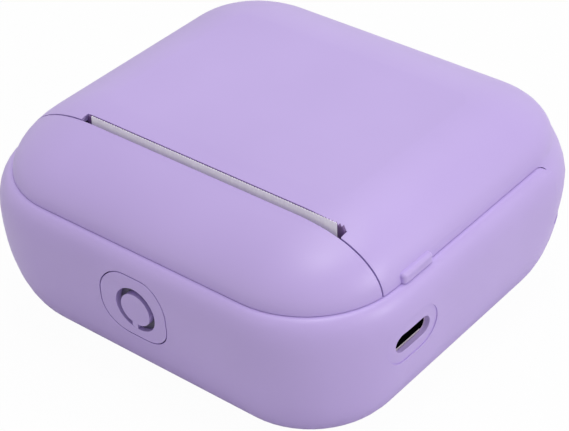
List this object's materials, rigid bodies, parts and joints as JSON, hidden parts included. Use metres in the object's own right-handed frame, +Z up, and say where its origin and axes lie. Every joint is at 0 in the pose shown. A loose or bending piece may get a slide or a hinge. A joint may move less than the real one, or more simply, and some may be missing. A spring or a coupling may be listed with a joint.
{
  "type": "portable thermal printer",
  "caption": "Pocket thermal printer: rounded case, hinged lid with platen, fixed nose with paper slot, round power button in the front and a charging port in the side.",
  "frame": {"origin": "on the standing plane under the middle of the case", "axes": "+Z up, -Y to the front with the power button, +X to the side with the charging port"},
  "size_m": [0.083, 0.0798, 0.0373],
  "materials": {
    "lilac_plastic": "satin moulded",
    "dark_guide": "translucent dark light guide",
    "grey_plastic": "moulded",
    "black_plastic": "moulded",
    "white_nylon": "moulded",
    "steel": "plated",
    "aluminium": "milled",
    "black_rubber": "ground",
    "foot_rubber": "moulded",
    "paper_white": "smooth",
    "core_plastic": "extruded",
    "ceramic_white": "glazed",
    "circuit_green": "solder mask",
    "cell_wrap": "pouch foil"
  },
  "bodies": {
    "case": {"lower_case": "lilac_plastic", "nose_cap": "lilac_plastic", "hinge_pin": "steel", "button_plate": "lilac_plastic", "light_ring": "dark_guide", "tact_switch": "black_plastic", "gear_axles": "steel", "gear_plate": "steel", "gear_plate_screws": "steel", "motor": "steel", "chassis": "grey_plastic", "paper_sensor": "black_plastic", "paper_web": "paper_white", "head_frame": "steel", "frame_screws": "steel", "head_pin": "steel", "head_spring": "steel", "main_board": "circuit_green", "board_screws": "steel", "usb_socket": "steel", "board_chips": "black_plastic", "radio_shield": "steel", "head_connector": "black_plastic", "battery_cell": "cell_wrap", "battery_plug": "white_nylon", "base_screws": "steel", "rubber_feet": "foot_rubber"},
    "lid": {"lid_shell": "lilac_plastic", "platen_carrier": "grey_plastic", "carrier_screws": "steel", "tear_bar": "lilac_plastic", "platen_bushes": "white_nylon"},
    "platen": {"platen_shaft": "steel", "platen_rubber": "black_rubber", "platen_gear": "white_nylon"},
    "idler": {"idler_gear": "white_nylon"},
    "reduction": {"compound_gear": "white_nylon"},
    "rotor": {"motor_pinion": "white_nylon"},
    "roll": {"paper_roll": "paper_white", "roll_core": "core_plastic"},
    "head": {"heat_sink": "aluminium", "head_board": "ceramic_white"},
    "button": {"power_button": "lilac_plastic", "switch_plunger": "black_plastic"}
  },
  "joints": [
    {"name": "lid_hinge", "type": "hinge", "parent": "case", "child": "lid", "pos_m": [0, 0.0358, 0.0104], "axis": [-1, 0, 0], "range_deg": [0, 85]},
    {"name": "platen_spin", "type": "hinge", "parent": "lid", "child": "platen", "pos_m": [0, -0.0175, 0.0251], "axis": [1, 0, 0], "continuous": true},
    {"name": "idler_spin", "type": "hinge", "parent": "case", "child": "idler", "pos_m": [-0.034, -0.01978, 0.01685], "axis": [1, 0, 0], "continuous": true},
    {"name": "reduction_spin", "type": "hinge", "parent": "case", "child": "reduction", "pos_m": [-0.034, -0.01259, 0.0145], "axis": [1, 0, 0], "continuous": true},
    {"name": "rotor_spin", "type": "hinge", "parent": "case", "child": "rotor", "pos_m": [-0.034, -0.00234, 0.01196], "axis": [1, 0, 0], "continuous": true},
    {"name": "roll_spin", "type": "hinge", "parent": "case", "child": "roll", "pos_m": [0.0034, 0.006, 0.0169], "axis": [1, 0, 0], "continuous": true},
    {"name": "head_lift", "type": "hinge", "parent": "case", "child": "head", "pos_m": [0, -0.02405, 0.02], "axis": [1, 0, 0], "range_deg": [0, 2], "stiffness_Nm_per_rad": 0.5, "springref_deg": -5.73, "deforming": ["head_spring"]},
    {"name": "power_button_press", "type": "hinge", "parent": "case", "child": "button", "pos_m": [0.00036, -0.0385, 0.01448], "axis": [-1, 0, 0], "range_deg": [0, 5], "stiffness_Nm_per_rad": 0.02, "springref_deg": -2.86}
  ],
  "couplings": [
    {"joint": "idler_spin", "follows": "platen_spin", "ratio": -0.88889},
    {"joint": "reduction_spin", "follows": "platen_spin", "ratio": 1.3333},
    {"joint": "rotor_spin", "follows": "platen_spin", "ratio": -3.3333},
    {"joint": "roll_spin", "follows": "platen_spin", "ratio": 0.375}
  ]
}
